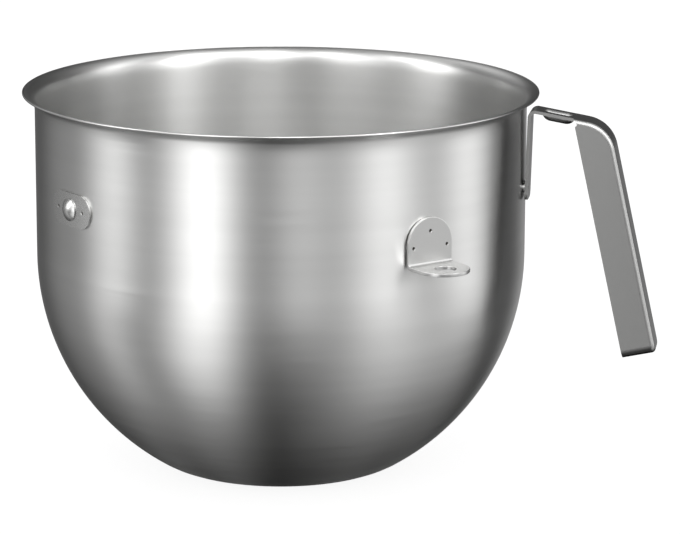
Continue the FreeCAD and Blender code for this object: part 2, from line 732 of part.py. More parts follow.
def make_bracket(doc, label, azimuth):
    """A plate with an arched top, welded flat to the wall, and a tab bent outwards with a hole in it."""
    body = new_body(doc, label)
    half = number("bracket_width") / 2
    gauge = number("bracket_sheet")
    near = number("wall_radius") + number("seat_clearance")
    level = number("tab_height")
    top = level + number("bracket_rise")
    under = level - gauge

    plate = new_sketch(
        body, f"{label}_plate_outline", "YZ_Plane", "Sizes.wall_radius + Sizes.seat_clearance"
    )
    arch = add_arc(plate, (0, top - half), half, 0, 180)
    left = add_line(plate, (-half, top - half), (-half, under))
    foot = add_line(plate, (-half, under), (half, under))
    right = add_line(plate, (half, under), (half, top - half))
    rule(plate, "Tangent", arch, "end", left, "start")
    rule(plate, "Coincident", left, "end", foot, "start")
    rule(plate, "Coincident", foot, "end", right, "start")
    rule(plate, "Tangent", right, "end", arch, "start")
    rule(plate, "Vertical", left)
    rule(plate, "Vertical", right)
    rule(plate, "Horizontal", foot)
    rule(plate, "PointOnObject", arch, "centre", "y_axis")
    dimension(plate, "arch", "Radius", arch, half, bound="Sizes.bracket_width / 2")
    dimension(
        plate, "arch_height", "DistanceY", *ORIGIN, arch, "centre", top - half,
        bound="Sizes.tab_height + Sizes.bracket_rise - Sizes.bracket_width / 2",
    )
    dimension(
        plate, "foot_height", "DistanceY", *ORIGIN, foot, "start", under,
        bound="Sizes.tab_height - Sizes.bracket_sheet",
    )
    pad(body, plate, f"{label}_plate", "Sizes.bracket_sheet")

    tab = new_sketch(body, f"{label}_tab_outline", "XY_Plane", "Sizes.tab_height")
    reach = near + number("tab_reach")
    nose = add_arc(tab, (reach - half, 0), half, -90, 90)
    far_side = add_line(tab, (reach - half, half), (near, half))
    root = add_line(tab, (near, half), (near, -half))
    near_side = add_line(tab, (near, -half), (reach - half, -half))
    rule(tab, "Tangent", nose, "end", far_side, "start")
    rule(tab, "Coincident", far_side, "end", root, "start")
    rule(tab, "Coincident", root, "end", near_side, "start")
    rule(tab, "Tangent", near_side, "end", nose, "start")
    rule(tab, "Horizontal", far_side)
    rule(tab, "Horizontal", near_side)
    rule(tab, "Vertical", root)
    rule(tab, "PointOnObject", nose, "centre", "x_axis")
    dimension(tab, "nose", "Radius", nose, half, bound="Sizes.bracket_width / 2")
    dimension(
        tab, "nose_reach", "DistanceX", *ORIGIN, nose, "centre", reach - half,
        bound="Sizes.wall_radius + Sizes.seat_clearance + Sizes.tab_reach - Sizes.bracket_width / 2",
    )
    dimension(
        tab, "root", "DistanceX", *ORIGIN, root, "start", near,
        bound="Sizes.wall_radius + Sizes.seat_clearance",
    )
    shelf = pad(body, tab, f"{label}_tab", "Sizes.bracket_sheet", downwards=True)
    doc.recompute()

    def at_inner_bend(edge, middle):
        return same(middle.z, level) and same(middle.x, near + gauge) and same(middle.y, 0)

    def at_outer_bend(edge, middle):
        return same(middle.z, under) and same(middle.x, near) and same(middle.y, 0)

    inner = fillet(
        body, shelf, f"{label}_inner_bend", edges_where(shelf.Shape, at_inner_bend),
        "Sizes.bracket_bend_radius",
    )
    doc.recompute()
    fillet(
        body, inner, f"{label}_outer_bend", edges_where(inner.Shape, at_outer_bend),
        "Sizes.bracket_bend_radius + Sizes.bracket_sheet",
    )
    hole = new_sketch(body, f"{label}_hole_place", "XY_Plane")
    centre = number("wall_radius") + number("bracket_hole_reach")
    circle = add_circle(hole, (centre, 0), number("bracket_hole_radius"))
    rule(hole, "PointOnObject", circle, "centre", "x_axis")
    dimension(
        hole, "hole_reach", "DistanceX", *ORIGIN, circle, "centre", centre,
        bound="Sizes.wall_radius + Sizes.bracket_hole_reach",
    )
    dimension(
        hole, "hole", "Radius", circle, number("bracket_hole_radius"), bound="Sizes.bracket_hole_radius"
    )
    cut_through(body, hole, f"{label}_pin_hole")

    # the flat plate touches the round wall along its middle, so only the lower spots need nubs
    spots = pair_of_spots(
        "bracket_weld_spacing", level + number("bracket_lower_weld_rise"),
        "Sizes.tab_height + Sizes.bracket_lower_weld_rise",
    )
    weld_marks(body, label, "Sizes.wall_radius + Sizes.seat_clearance", spots)
    spots.append((
        0, level + number("bracket_upper_weld_rise"), None,
        "Sizes.tab_height + Sizes.bracket_upper_weld_rise",
    ))
    make_dimples(body, label, PLATE_FACE, spots)
    clear_wall(body, label)
    turn(body, azimuth)
    return body


# Latch

LATCH_INNER = "Sizes.wall_radius + Sizes.seat_clearance"
LATCH_OUTER = f"{LATCH_INNER} + Sizes.latch_sheet"


def make_latch_plate(doc):
    """A long round-ended plate, padded flat and then turned inside and outside to follow the wall."""
    body = new_body(doc, "latch_plate")
    half = number("latch_width") / 2
    run = number("latch_length") / 2 - half
    level = number("latch_height")
    outline = new_sketch(body, "latch_outline", "YZ_Plane")
    right = add_arc(outline, (run, level), half, -90, 90)
    top = add_line(outline, (run, level + half), (-run, level + half))
    left = add_arc(outline, (-run, level), half, 90, 270)
    foot = add_line(outline, (-run, level - half), (run, level - half))
    rule(outline, "Tangent", right, "end", top, "start")
    rule(outline, "Tangent", top, "end", left, "start")
    rule(outline, "Tangent", left, "end", foot, "start")
    rule(outline, "Tangent", foot, "end", right, "start")
    rule(outline, "Horizontal", top)
    rule(outline, "Symmetric", right, "centre", left, "centre", "y_axis")
    dimension(outline, "end", "Radius", right, half, bound="Sizes.latch_width / 2")
    dimension(
        outline, "run", "DistanceX", *ORIGIN, right, "centre", run,
        bound="(Sizes.latch_length - Sizes.latch_width) / 2",
    )
    dimension(
        outline, "level", "DistanceY", *ORIGIN, right, "centre", level, bound="Sizes.latch_height"
    )
    pad(body, outline, "latch_blank", f"{LATCH_OUTER} + Sizes.latch_sheet")

    rings = new_sketch(body, "latch_outer_ring", "XY_Plane")
    outer = number("wall_radius") + number("seat_clearance") + number("latch_sheet")
    # the ring that is cut away is wide enough to take the blank's ends with it
    waste = number("latch_length")
    face = add_circle(rings, (0, 0), outer)
    beyond = add_circle(rings, (0, 0), outer + waste)
    for circle in (face, beyond):
        rule(rings, "Coincident", circle, "centre", *ORIGIN)
    dimension(rings, "face", "Radius", face, outer, bound=LATCH_OUTER)
    dimension(
        rings, "beyond", "Radius", beyond, outer + waste, bound=f"{LATCH_OUTER} + Sizes.latch_length"
    )
    cut_through(body, rings, "latch_outer_face")

    clear_wall(body, "latch")
    doc.recompute()
    spots = pair_of_spots("latch_weld_spacing", level, "Sizes.latch_height")
    curved = "sqrt((" + LATCH_OUTER + ") ^ 2 - (Sizes.latch_weld_spacing / 2) ^ 2)"
    make_dimples(body, "latch", curved, spots)
    turn(body, "latch_azimuth")
    return body


def make_latch_button(doc):
    """A low domed button, turned about a line square to the wall and seated on the latch plate."""
    body = new_body(doc, "latch_button")
    radius = number("button_radius")
    seat = number("wall_radius") + number("seat_clearance") + number("latch_sheet")
    base = seat - number("button_root_depth")
    crown = seat + number("button_rise")
    shoulder = seat + number("button_side")
    swell = crown - shoulder
    dome_radius = (radius ** 2 + swell ** 2) / (2 * swell)
    rim_angle = math.degrees(math.asin(radius / dome_radius))
    level = number("latch_height")
    sketch = new_sketch(body, "button_section", "XZ_Plane")
    dome = add_arc(sketch, (crown - dome_radius, level), dome_radius, 0, rim_angle)
    wall = add_line(sketch, (shoulder, level + radius), (base, level + radius))
    floor = add_line(sketch, (base, level + radius), (base, level))
    axis = add_line(sketch, (base, level), (crown, level))
    rule(sketch, "Coincident", dome, "end", wall, "start")
    rule(sketch, "Coincident", wall, "end", floor, "start")
    rule(sketch, "Coincident", floor, "end", axis, "start")
    rule(sketch, "Coincident", axis, "end", dome, "start")
    rule(sketch, "PointOnObject", dome, "centre", axis)
    rule(sketch, "Horizontal", wall)
    rule(sketch, "Vertical", floor)
    rule(sketch, "Horizontal", axis)
    dimension(sketch, "level", "DistanceY", *ORIGIN, axis, "start", level, bound="Sizes.latch_height")
    dimension(
        sketch, "radius", "DistanceY", floor, "end", floor, "start", radius, bound="Sizes.button_radius"
    )
    dimension(
        sketch, "crown", "DistanceX", *ORIGIN, axis, "end", crown,
        bound=f"{LATCH_OUTER} + Sizes.button_rise",
    )
    dimension(
        sketch, "side", "DistanceX", *ORIGIN, wall, "start", shoulder,
        bound=f"{LATCH_OUTER} + Sizes.button_side",
    )
    dimension(
        sketch, "base", "DistanceX", *ORIGIN, floor, "end", base,
        bound=f"{LATCH_OUTER} - Sizes.button_root_depth",
    )
    spun = body.newObject("PartDesign::Revolution", "turned_button")
    spun.Profile = sketch
    spun.ReferenceAxis = (sketch, [f"Edge{axis + 1}"])
    spun.Angle = 360
    doc.recompute()
    seat_circle = new_sketch(body, "button_seat_circle", "XY_Plane")
    circle = add_circle(seat_circle, (0, 0), seat + number("seat_clearance"))
    rule(seat_circle, "Coincident", circle, "centre", *ORIGIN)
    dimension(
        seat_circle, "seat", "Radius", circle, seat + number("seat_clearance"),
        bound=f"{LATCH_OUTER} + Sizes.seat_clearance",
    )
    cut_through(body, seat_circle, "button_seat")
    turn(body, "latch_azimuth")
    return body


def check(doc, bodies):
    """Stop if any object of the document failed, or a finished body isn't one valid solid."""
    for item in doc.Objects:
        if "Invalid" in item.State or "Error" in item.State:
            raise RuntimeError(f"{item.Label} failed: {item.State}")
    for body in bodies:
        if body.Shape.isNull() or not body.Shape.isValid() or len(body.Shape.Solids) != 1:
            raise RuntimeError(f"{body.Label} isn't one valid solid: {len(body.Shape.Solids)}")


def main():
    doc = FreeCAD.newDocument("stand_mixer_bowl")
    make_sheet(doc)
    bodies = [
        make_bowl(doc),
        make_handle(doc),
        make_bracket(doc, "left_bracket", "left_bracket_azimuth"),
        make_bracket(doc, "right_bracket", "right_bracket_azimuth"),
        make_latch_plate(doc),
        make_latch_button(doc),
    ]
    doc.recompute()
    check(doc, bodies)
    os.makedirs("parts", exist_ok=True)
    for body in bodies:
        body.Shape.exportStep(f"parts/{body.Label}.step")
        box = body.Shape.BoundBox
        print(
            f"{body.Label}: {box.XLength:.2f} x {box.YLength:.2f} x {box.ZLength:.2f} mm,"
            f" {body.Shape.Volume / 1000:.2f} cm3"
        )


main()
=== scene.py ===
import math

import bmesh
import bpy
import numpy as np
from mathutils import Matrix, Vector


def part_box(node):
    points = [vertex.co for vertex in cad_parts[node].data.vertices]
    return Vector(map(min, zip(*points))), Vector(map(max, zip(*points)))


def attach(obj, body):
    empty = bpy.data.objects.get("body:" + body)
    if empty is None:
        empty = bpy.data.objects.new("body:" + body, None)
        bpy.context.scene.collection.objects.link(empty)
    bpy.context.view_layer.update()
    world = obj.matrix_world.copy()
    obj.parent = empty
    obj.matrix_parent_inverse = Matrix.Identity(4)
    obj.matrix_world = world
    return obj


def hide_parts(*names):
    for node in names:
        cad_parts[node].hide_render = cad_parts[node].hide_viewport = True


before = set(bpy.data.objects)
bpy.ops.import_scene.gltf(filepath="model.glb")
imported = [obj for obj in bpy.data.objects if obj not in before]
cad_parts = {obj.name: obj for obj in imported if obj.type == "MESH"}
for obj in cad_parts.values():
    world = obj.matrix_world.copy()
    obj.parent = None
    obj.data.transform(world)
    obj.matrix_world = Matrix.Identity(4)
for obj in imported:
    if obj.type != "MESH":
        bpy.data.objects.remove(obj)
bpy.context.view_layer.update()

bl_info = {
    "name": "Stand mixer bowl",
    "version": (1, 0, 0),
    "blender": (4, 5, 0),
    "location": "View3D > Sidebar > Mixer bowl",
    "description": "A spun stainless bowl with a pressed handle, two lift brackets and a rear latch",
    "category": "Object",
}

MM = 0.001
BOWL_LOW, BOWL_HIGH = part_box("bowl")

# Each welded piece's azimuths in degrees, and its weld marks: how far across, out and up, in millimetres.
# The brackets' plates are flat. The latch's plate is curved, so its marks lie nearer the axis.
BRACKET_SIDES = (-45, 135)
BRACKET_WELDS = ((-9.55, 120.75, 130.0), (9.55, 120.75, 130.0), (0, 120.75, 137.3))
LATCH_SIDES = (-135,)
LATCH_WELDS = ((-10.5, 119.59, 140.5), (10.5, 119.59, 140.5))

PROFILE_STEP = 4 * MM            # longest step along the bowl's profile
ARC_STEP = math.radians(7)       # most that one step of an arc turns
SHARP_EDGE = math.radians(38)    # faces that meet at more than this are shaded apart
SQUARE_EDGE = math.radians(62)   # edges of more than this are broken on a tumbled plate
FLAT_LEAN = 1 / 400              # how far the normals of one flat may differ
FLAT_STEP = 0.02 * MM            # and how far its faces may lie apart
SCRATCH_GAP = 0.7 * MM           # between the bowl's scratches, along its profile
RING_GAP = 6 * MM                # between the rings left by the spinning tool
# Painted shade: the weld dimples are coloured dark, standing in for the shade that falls in them.
WELD_SHADE_CORE = 0.65 * MM          # the painted weld shade is full within this radius
WELD_SHADE_EDGE = 0.9 * MM           # and gone from this one on
SATIN_SPREAD = 0.02              # how far satin steel's roughness varies each way
FLOOR_REACH = 12.0               # half the floor's width, in metres
ROOM_LIGHT = 0.05                # what the steel reflects between the panels
HORIZON = 0.1                    # sine of the elevation over which that light fades in


# Settings

class BowlShape(bpy.types.PropertyGroup):
    """Sizes of the bowl's section; its height and rim come from the frame."""

    wall_radius: bpy.props.FloatProperty(
        name="Wall radius", description="Outside radius of the straight wall, and of the round bottom",
        default=119 * MM, unit="LENGTH")
    wall_foot: bpy.props.FloatProperty(
        name="Wall foot", description="Height at which the straight wall starts",
        default=106 * MM, unit="LENGTH")
    sheet: bpy.props.FloatProperty(
        name="Sheet", description="Thickness of the spun sheet", default=1 * MM, unit="LENGTH")
    lip_radius: bpy.props.FloatProperty(
        name="Lip radius", description="Radius of the turned-out lip, on its underside",
        default=5.2 * MM, unit="LENGTH")
    flare_radius: bpy.props.FloatProperty(
        name="Flare radius", description="Radius of the gentle bend between the wall and the lip",
        default=18 * MM, unit="LENGTH")
    flare_angle: bpy.props.FloatProperty(
        name="Flare angle", description="How far that bend leans the wall outwards",
        default=math.radians(12), subtype="ANGLE")
    base_corner: bpy.props.FloatProperty(
        name="Base corner", description="Radius between the round bottom and the flat base",
        default=34 * MM, unit="LENGTH")
    punt_radius: bpy.props.FloatProperty(
        name="Punt radius", description="Radius of the raised middle of the base",
        default=22 * MM, unit="LENGTH")
    punt_slope: bpy.props.FloatProperty(
        name="Punt slope", description="Width of the slope round the raised middle",
        default=10 * MM, unit="LENGTH")
    punt_rise: bpy.props.FloatProperty(
        name="Punt rise", description="Height of the raised middle", default=6 * MM, unit="LENGTH")
    punt_bend: bpy.props.FloatProperty(
        name="Punt bend", description="Radius of the bends at both ends of that slope",
        default=3 * MM, unit="LENGTH")
    around: bpy.props.IntProperty(name="Around", description="Faces round the bowl", default=432)


class SteelFinish(bpy.types.PropertyGroup):
    """Colours of the steels, the painted shade in the weld dimples and the floor, as sRGB, and the
    brackets' tumbled edges.
    """

    spun: bpy.props.StringProperty(
        name="Spun steel", description="sRGB hex of the brushed bowl", default="cfcfce")
    rings: bpy.props.StringProperty(
        name="Spinning rings", description="sRGB hex of the faint rings on the bowl", default="d8d8d7")
    satin: bpy.props.StringProperty(
        name="Satin steel", description="sRGB hex of the brackets and latch", default="cbcbca")
    grip: bpy.props.StringProperty(
        name="Grip steel", description="sRGB hex of the handle", default="acacab")
    # painted shade: the dark colour put in the weld dimples
    painted_weld_shade: bpy.props.StringProperty(
        name="Painted weld shade", description="sRGB hex of the spot welds", default="35322f")
    plate_rounding: bpy.props.FloatProperty(
        name="Plate rounding", description="How much the brackets' square edges are broken",
        default=0.35 * MM, unit="LENGTH")
    floor: bpy.props.StringProperty(
        name="Floor", description="sRGB hex of the floor", default="7c7c7c")
    floor_glow: bpy.props.FloatProperty(
        name="Floor glow", description="How strongly the floor shines by itself", default=0.88)


class StudioView(bpy.types.PropertyGroup):
    """Where the photograph was taken from."""

    azimuth: bpy.props.FloatProperty(
        name="Azimuth", description="Turn of the view about the bowl's axis, from +Y",
        default=math.radians(9.40), subtype="ANGLE")
    tilt: bpy.props.FloatProperty(
        name="Tilt", description="Tilt of the camera from straight down", default=math.radians(76.859),
        subtype="ANGLE")
    place: bpy.props.FloatVectorProperty(
        name="Place", description="Where the camera stands", default=(0.28490, -1.55211, 0.46550),
        subtype="XYZ", unit="LENGTH")
    roll: bpy.props.FloatProperty(
        name="Roll", description="How far the camera leans to one side", default=math.radians(-0.2),
        subtype="ANGLE")
    lens: bpy.props.FloatProperty(
        name="Lens", description="Focal length in millimetres", default=174.95)
    sensor: bpy.props.FloatProperty(
        name="Sensor", description="Width of the camera's sensor in millimetres", default=36)
    clip_end: bpy.props.FloatProperty(
        name="Clip end", description="How far the camera sees", default=50, unit="LENGTH")


# Mesh helpers

def walk(start, heading, steps):
    """A line drawn by walking: each step is a straight length or an arc of a radius and a turn.

    On a straight, x and z grow with the distance times the heading's cosine and sine. On an arc, the
    point is the arc's centre plus the radius square to the heading, which turns evenly. Returns the
    points' x, z and heading.
    """
    x, z = start
    rows = [np.array([[x, z, heading]])]
    for length, turn in steps:
        reach = abs(turn) * length if turn else length
        count = max(math.ceil(max(reach / PROFILE_STEP, abs(turn) / ARC_STEP)), 1)
        part = np.linspace(0, 1, count + 1)[1:]
        angle = heading + turn * part
        if turn:
            side = math.copysign(length, turn)
            along_x = x - side * math.sin(heading) + side * np.sin(angle)
            along_z = z + side * math.cos(heading) - side * np.cos(angle)
        else:
            along_x = x + reach * part * math.cos(heading)
            along_z = z + reach * part * math.sin(heading)
        rows.append(np.column_stack([along_x, along_z, angle]))
        x, z, heading = rows[-1][-1]
    return np.vstack(rows).T


def new_object(name, vertices, faces):
    mesh = bpy.data.meshes.new(name)
    mesh.from_pydata(vertices.tolist(), [], faces)
    mesh.update()
    piece = bpy.data.objects.new(name, mesh)
    bpy.context.scene.collection.objects.link(piece)
    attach(piece, "root")
    return piece


def set_run_map(mesh, values):
    """A UV map whose U runs along the profile, in metres.

    Its tangent then lies square to the brushing.
    """
    layer = mesh.uv_layers.new(name="profile_run")
    layer.data.foreach_set("uv", np.ascontiguousarray(values, dtype=np.float32).ravel())


def spin_profile(name, radius, height, run, around):
    """A closed skin of revolution. Point (i, j) is (r_i cos a_j, r_i sin a_j, z_i) with a_j = 2 pi j / n.

    The profile's two ends lie on the axis, and each becomes one vertex with a fan of triangles.
    """
    count = len(radius) - 2
    angle = 2 * np.pi * np.arange(around) / around
    ring = np.stack([
        np.outer(radius[1:-1], np.cos(angle)),
        np.outer(radius[1:-1], np.sin(angle)),
        np.repeat(height[1:-1, None], around, axis=1),
    ], axis=-1).reshape(-1, 3)
    poles = np.array([[0, 0, height[0]], [0, 0, height[-1]]])
    first, last = len(ring), len(ring) + 1
    here = np.arange(around)
    there = (here + 1) % around
    row = np.arange(count - 1)[:, None] * around
    quads = np.stack([row + here, row + there, row + around + there, row + around + here], axis=-1)
    top = (count - 1) * around
    start_fan = np.stack([np.full(around, first), there, here], axis=-1)
    end_fan = np.stack([np.full(around, last), top + here, top + there], axis=-1)
    faces = quads.reshape(-1, 4).tolist() + start_fan.tolist() + end_fan.tolist()
    piece = new_object(name, np.vstack([ring, poles]), faces)

    low = np.repeat(run[1:-2], around)
    high = np.repeat(run[2:-1], around)
    left = np.tile(here / around, count - 1)
    right = np.tile((here + 1) / around, count - 1)
    quad_map = np.stack([
        np.stack([low, left], -1), np.stack([low, right], -1),
        np.stack([high, right], -1), np.stack([high, left], -1),
    ], axis=1).reshape(-1, 2)
    turn_here = here / around
    turn_there = (here + 1) / around
    middle = (turn_here + turn_there) / 2
    start_map = np.stack([
        np.stack([np.full(around, run[0]), middle], -1),
        np.stack([np.full(around, run[1]), turn_there], -1),
        np.stack([np.full(around, run[1]), turn_here], -1),
    ], axis=1).reshape(-1, 2)
    end_map = np.stack([
        np.stack([np.full(around, run[-1]), middle], -1),
        np.stack([np.full(around, run[-2]), turn_here], -1),
        np.stack([np.full(around, run[-2]), turn_there], -1),
    ], axis=1).reshape(-1, 2)
    set_run_map(piece.data, np.vstack([quad_map, start_map, end_map]))
    piece.data.shade_smooth()
    return piece


def set_flat_normals(mesh):
    """Corner normals that keep flats flat, however their triangles lie.

    A corner's normal adds up the faces round its vertex that are turned less than the sharp angle
    from its own face. Each counts with the whole area of the flat that it is part of.
    """
    faces, corners = len(mesh.polygons), len(mesh.loops)
    normal = np.empty(faces * 3)
    middle = np.empty(faces * 3)
    area = np.empty(faces)
    size = np.empty(faces, dtype=np.int64)
    vertex = np.empty(corners, dtype=np.int64)
    mesh.polygons.foreach_get("normal", normal)
    mesh.polygons.foreach_get("center", middle)
    mesh.polygons.foreach_get("area", area)
    mesh.polygons.foreach_get("loop_total", size)
    mesh.loops.foreach_get("vertex_index", vertex)
    normal, middle = normal.reshape(-1, 3), middle.reshape(-1, 3)
    # faces with the same direction and the same distance from the origin lie in one flat
    distance = (normal * middle).sum(axis=1)
    plane = np.column_stack([normal / FLAT_LEAN, distance / FLAT_STEP])
    _, flat = np.unique(plane.round().astype(np.int64), axis=0, return_inverse=True)
    flat = flat.ravel()
    weight = np.bincount(flat, weights=area)[flat]
    order = np.argsort(vertex, kind="stable")
    own = np.repeat(np.arange(faces), size)[order]
    at = vertex[order]
    direction, pull = normal[own], normal[own] * weight[own][:, None]
    total = pull.copy()
    for step in range(1, int(np.bincount(at).max())):
        near = (at[:-step] == at[step:]) & (
            (direction[:-step] * direction[step:]).sum(axis=1) > math.cos(SHARP_EDGE))
        total[:-step][near] += pull[step:][near]
        total[step:][near] += pull[:-step][near]
    total /= np.maximum(np.linalg.norm(total, axis=1, keepdims=True), 1e-20)
    corner_normals = np.empty_like(total)
    corner_normals[order] = total
    mesh.normals_split_custom_set(corner_normals.tolist())


def smooth_copy(node, name, rounding=0.0):
    """A CAD node's mesh, merged and smoothed.

    With a rounding, its square edges are broken by that much, as tumbling leaves them.
    """
    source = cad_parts[node]
    mesh = source.data.copy()
    mesh.name = name
    shape = bmesh.new()
    shape.from_mesh(mesh)
    bmesh.ops.remove_doubles(shape, verts=shape.verts, dist=1e-6)
    if rounding:
        square = [edge for edge in shape.edges if edge.calc_face_angle(0) > SQUARE_EDGE]
        bmesh.ops.bevel(
            shape, geom=square, offset=rounding, segments=2, profile=0.5, affect="EDGES",
            clamp_overlap=False)
    shape.to_mesh(mesh)
    shape.free()
    mesh.materials.clear()
    mesh.shade_smooth()
    set_flat_normals(mesh)
    piece = bpy.data.objects.new(name, mesh)
    bpy.context.scene.collection.objects.link(piece)
    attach(piece, "root")
    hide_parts(node)
    return piece


# Materials

def linear(code):
    """An sRGB hex colour as linear RGBA."""
    values = np.array([int(code[i:i + 2], 16) for i in (0, 2, 4)]) / 255
    turned = np.where(values <= 0.04045, values / 12.92, ((values + 0.055) / 1.055) ** 2.4)
    return (*turned.tolist(), 1.0)


def add(tree, kind, inputs=None, **settings):
    """Add a node, with its settings, and its inputs either linked from a socket or set to a value."""
    node = tree.nodes.new(kind)
    for name, value in settings.items():
        setattr(node, name, value)
    for socket, value in (inputs or {}).items():
        if isinstance(value, bpy.types.NodeSocket):
            tree.links.new(value, node.inputs[socket])
        else:
            node.inputs[socket].default_value = value
    return node


def new_material(name):
    material = bpy.data.materials.new(name)
    material.use_nodes = True
    material.node_tree.nodes.clear()
    return material, material.node_tree


def spun_stainless(colour, ring_colour):
    """18/8 stainless steel, spun and then brushed round the bowl with fine abrasive.

    The scratches run round the bowl, so reflections smear up and down, and stay fairly sharp sideways.
    """
    material, tree = new_material("brushed_spun_stainless")
    run = add(tree, "ShaderNodeUVMap", uv_map="profile_run")
    along = add(tree, "ShaderNodeSeparateXYZ", {"Vector": run.outputs["UV"]})
    place = add(tree, "ShaderNodeTexCoord")
    around = add(tree, "ShaderNodeSeparateXYZ", {"Vector": place.outputs["Object"]})
    # scratches, long round the bowl and close along the profile, coarser than real ones so that they show
    lengths = add(tree, "ShaderNodeCombineXYZ", {"X": around.outputs["X"], "Y": around.outputs["Y"]})
    stretched = add(tree, "ShaderNodeVectorMath", {
        0: lengths.outputs["Vector"], 1: (22, 22, 0)}, operation="MULTIPLY")
    pitch = add(tree, "ShaderNodeMath", {
        0: along.outputs["X"], 1: 1 / SCRATCH_GAP}, operation="MULTIPLY")
    lift = add(tree, "ShaderNodeCombineXYZ", {"Z": pitch.outputs["Value"]})
    scratch_place = add(tree, "ShaderNodeVectorMath", {
        0: stretched.outputs["Vector"], 1: lift.outputs["Vector"]})
    scratches = add(tree, "ShaderNodeTexNoise", {
        "Vector": scratch_place.outputs["Vector"], "Scale": 1.0, "Detail": 2.0, "Roughness": 0.6})
    # broad rings left by the spinning tool
    ring_pitch = add(tree, "ShaderNodeMath", {
        0: along.outputs["X"], 1: 1 / RING_GAP}, operation="MULTIPLY")
    ring_lift = add(tree, "ShaderNodeCombineXYZ", {"Z": ring_pitch.outputs["Value"]})
    slow = add(tree, "ShaderNodeVectorMath", {
        0: lengths.outputs["Vector"], 1: (3, 3, 0)}, operation="MULTIPLY")
    ring_place = add(tree, "ShaderNodeVectorMath", {
        0: slow.outputs["Vector"], 1: ring_lift.outputs["Vector"]})
    rings = add(tree, "ShaderNodeTexNoise", {
        "Vector": ring_place.outputs["Vector"], "Scale": 1.0, "Detail": 1.0})
    roughness = add(tree, "ShaderNodeMapRange", {
        "Value": scratches.outputs["Fac"], "From Min": 0.3, "From Max": 0.7,
        "To Min": 0.29, "To Max": 0.33})
    tone = add(tree, "ShaderNodeMix", {
        "Factor": rings.outputs["Fac"], "A": linear(colour), "B": linear(ring_colour)},
        data_type="RGBA")
    bump = add(tree, "ShaderNodeBump", {
        "Strength": 0.08, "Distance": 0.012 * MM, "Height": scratches.outputs["Fac"]})
    tangent = add(tree, "ShaderNodeTangent", direction_type="UV_MAP", uv_map="profile_run")
    steel = add(tree, "ShaderNodeBsdfPrincipled", {
        "Base Color": tone.outputs["Result"], "Metallic": 1.0,
        "Roughness": roughness.outputs["Result"], "Anisotropic": 0.85,
        "Normal": bump.outputs["Normal"], "Tangent": tangent.outputs["Tangent"]})
    add(tree, "ShaderNodeOutputMaterial", {"Surface": steel.outputs["BSDF"]})
    return material


def weld_places(sides, marks):
    """Each mark's point, turned about the bowl's axis to each side."""
    return [
        (
            (out * math.cos(math.radians(side)) - across * math.sin(math.radians(side))) * MM,
            (out * math.sin(math.radians(side)) + across * math.cos(math.radians(side))) * MM,
            up * MM,
        )
        for side in sides for across, out, up in marks
    ]


def satin_stainless(name, colour, grain, rough, welds=(), weld_shade_colour=""):
    """Stainless sheet, pressed and then tumbled to a fine satin.

    The grain is the mottle's size in millimetres. The welds are points, and shade is painted dark
    round each of them, standing in for the shade that falls in their dimples.
    """
    material, tree = new_material(name)
    place = add(tree, "ShaderNodeTexCoord")
    mottle = add(tree, "ShaderNodeTexNoise", {
        "Vector": place.outputs["Object"], "Scale": 1 / (grain * MM), "Detail": 3.0, "Roughness": 0.55})
    roughness = add(tree, "ShaderNodeMapRange", {
        "Value": mottle.outputs["Fac"], "From Min": 0.3, "From Max": 0.7,
        "To Min": rough - SATIN_SPREAD, "To Max": rough + SATIN_SPREAD})
    bump = add(tree, "ShaderNodeBump", {
        "Strength": 0.03, "Distance": 0.01 * MM, "Height": mottle.outputs["Fac"]})
    tone = linear(colour)
    # painted shade: each weld's dimple is coloured dark round its point
    for weld in welds:
        gap = add(tree, "ShaderNodeVectorMath", {
            0: place.outputs["Object"], 1: weld}, operation="DISTANCE")
        weld_shade_amount = add(tree, "ShaderNodeMapRange", {
            "Value": gap.outputs["Value"], "From Min": WELD_SHADE_CORE, "From Max": WELD_SHADE_EDGE,
            "To Min": 1.0, "To Max": 0.0})
        tone = add(tree, "ShaderNodeMix", {
            "Factor": weld_shade_amount.outputs["Result"], "A": tone, "B": linear(weld_shade_colour)},
            data_type="RGBA").outputs["Result"]
    steel = add(tree, "ShaderNodeBsdfPrincipled", {
        "Base Color": tone, "Metallic": 1.0, "Roughness": roughness.outputs["Result"],
        "Normal": bump.outputs["Normal"]})
    add(tree, "ShaderNodeOutputMaterial", {"Surface": steel.outputs["BSDF"]})
    return material


def pale_floor(colour, glow):
    """Matt painted board that glows, so that it stays as pale as the photograph's ground."""
    material, tree = new_material("matt_pale_board")
    place = add(tree, "ShaderNodeTexCoord")
    tooth = add(tree, "ShaderNodeTexNoise", {"Vector": place.outputs["Object"], "Scale": 400.0})
    bump = add(tree, "ShaderNodeBump", {
        "Strength": 0.02, "Distance": 0.05 * MM, "Height": tooth.outputs["Fac"]})
    board = add(tree, "ShaderNodeBsdfPrincipled", {
        "Base Color": linear(colour), "Roughness": 0.9, "Specular IOR Level": 0.0,
        "Emission Color": (1, 1, 1, 1), "Emission Strength": glow, "Normal": bump.outputs["Normal"]})
    add(tree, "ShaderNodeOutputMaterial", {"Surface": board.outputs["BSDF"]})
    return material


# Pieces

